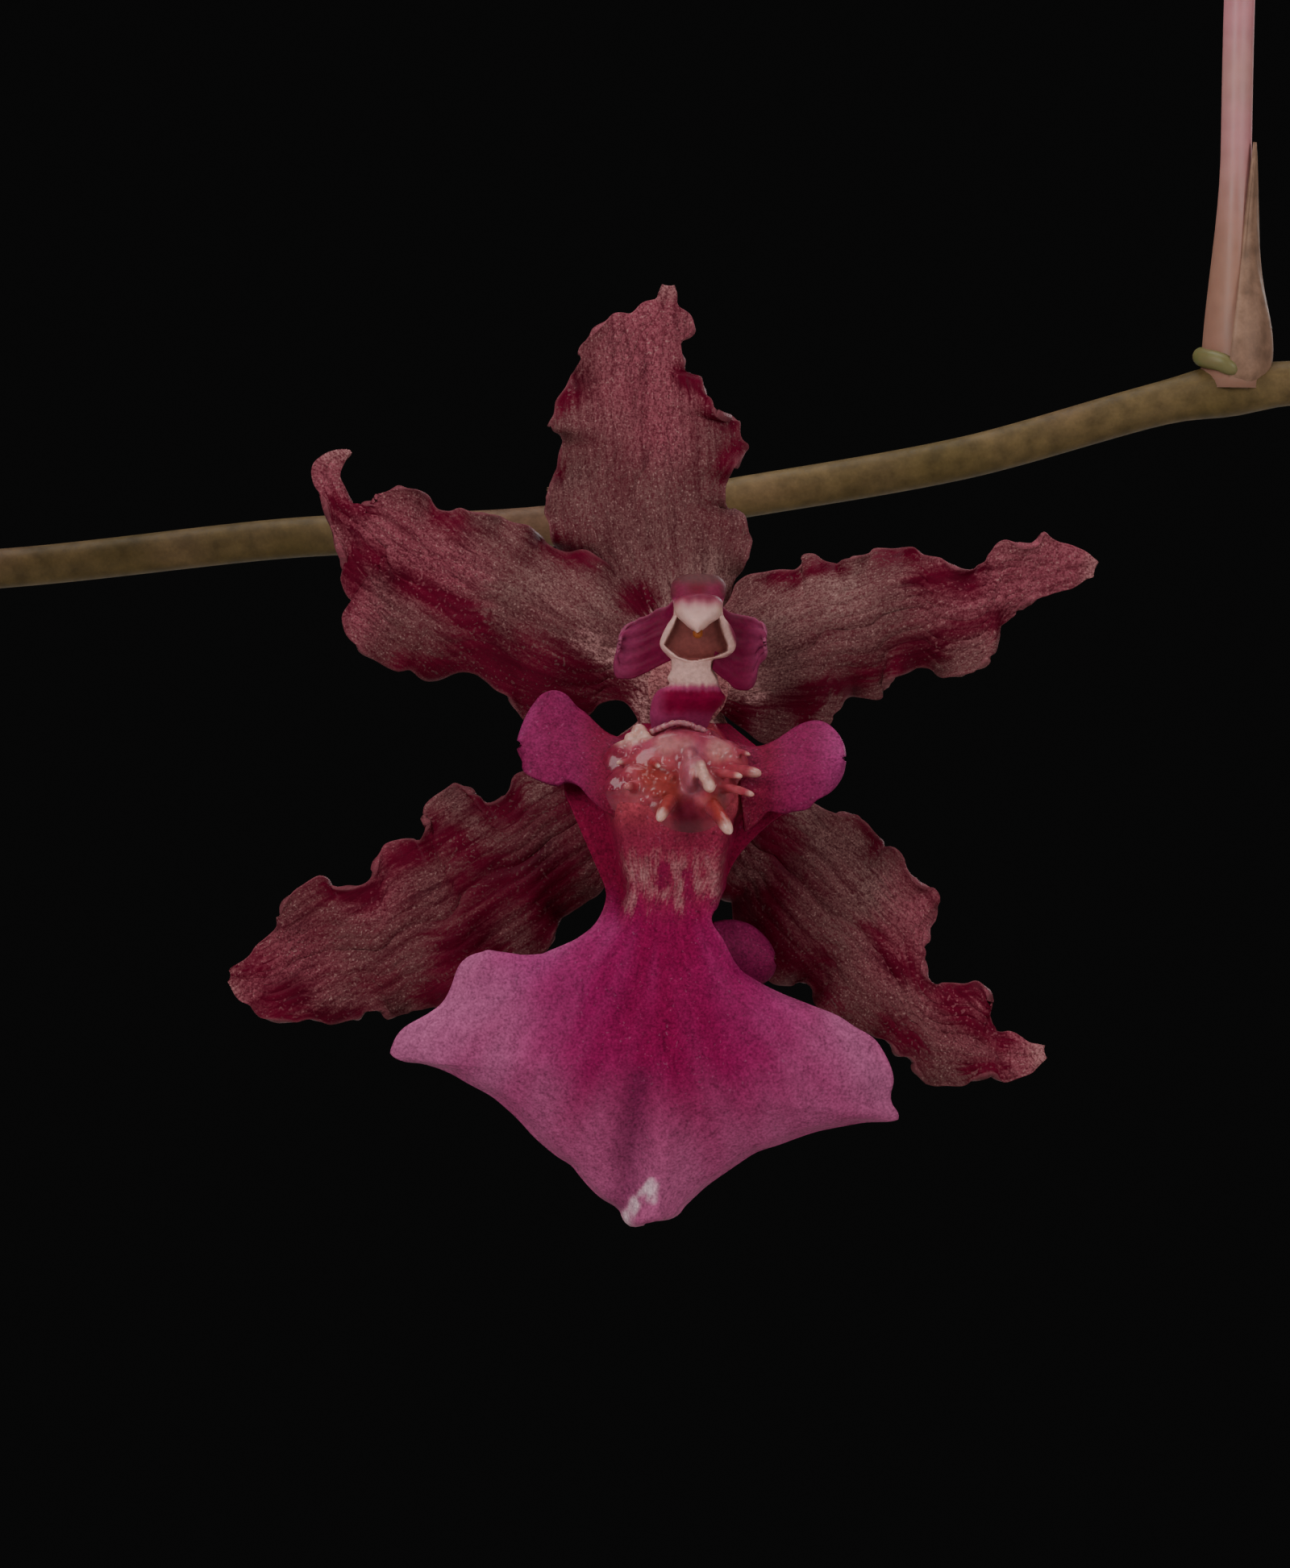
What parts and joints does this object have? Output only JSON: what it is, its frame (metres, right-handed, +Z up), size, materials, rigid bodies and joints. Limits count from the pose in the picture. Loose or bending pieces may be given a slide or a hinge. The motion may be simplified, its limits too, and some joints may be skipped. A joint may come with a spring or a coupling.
{
  "type": "potted orchid plant in flower",
  "caption": "Potted oncidium orchid: plain clay pot of bark, ribbed pseudobulbs, strap leaves and an arching branched stem of small maroon and magenta flowers.",
  "frame": {"origin": "middle of the pot's flat underside", "axes": "+Z up, -Y towards the viewer, whom most of the flowers face, +X to the viewer's right"},
  "size_m": [0.27, 0.2272, 0.5358],
  "materials": {
    "clay": "matt unglazed terracotta",
    "bark": "rough dry bark chips",
    "pseudobulb": "smooth satin green, ribbed",
    "leaf": "satin green strap leaf",
    "stem": "smooth olive brown, mottled",
    "tepals": "velvety dark maroon with a pale frosting",
    "lip": "satin magenta, paler to the edge",
    "column": "satin magenta and white",
    "callus": "glossy orange pink, warty",
    "anther_cap": "waxy white"
  },
  "bodies": {
    "root": {"pot": "clay", "bark": "bark", "pseudobulb_1": "pseudobulb", "pseudobulb_2": "pseudobulb", "pseudobulb_3": "pseudobulb", "leaf_1": "leaf", "leaf_2": "leaf", "leaf_3": "leaf", "leaf_4": "leaf", "leaf_5": "leaf", "leaf_6": "leaf", "leaf_7": "leaf", "leaf_8": "leaf", "young_shoot": "leaf", "flower_stem": "stem", "branch_1": "stem", "branch_2": "stem", "branch_3": "stem", "branch_4": "stem", "flower_1_tepals": "tepals", "flower_1_lip": "lip", "flower_1_column": "column", "flower_1_callus": "callus", "flower_1_anther_cap": "anther_cap", "flower_2_tepals": "tepals", "flower_2_lip": "lip", "flower_2_column": "column", "flower_3_tepals": "tepals", "flower_3_lip": "lip", "flower_3_column": "column", "flower_4_tepals": "tepals", "flower_4_lip": "lip", "flower_4_column": "column", "flower_5_tepals": "tepals", "flower_5_lip": "lip", "flower_5_column": "column", "flower_6_tepals": "tepals", "flower_6_lip": "lip", "flower_6_column": "column", "flower_7_tepals": "tepals", "flower_7_lip": "lip", "flower_7_column": "column", "flower_8_tepals": "tepals", "flower_8_lip": "lip", "flower_8_column": "column"}
  },
  "joints": []
}
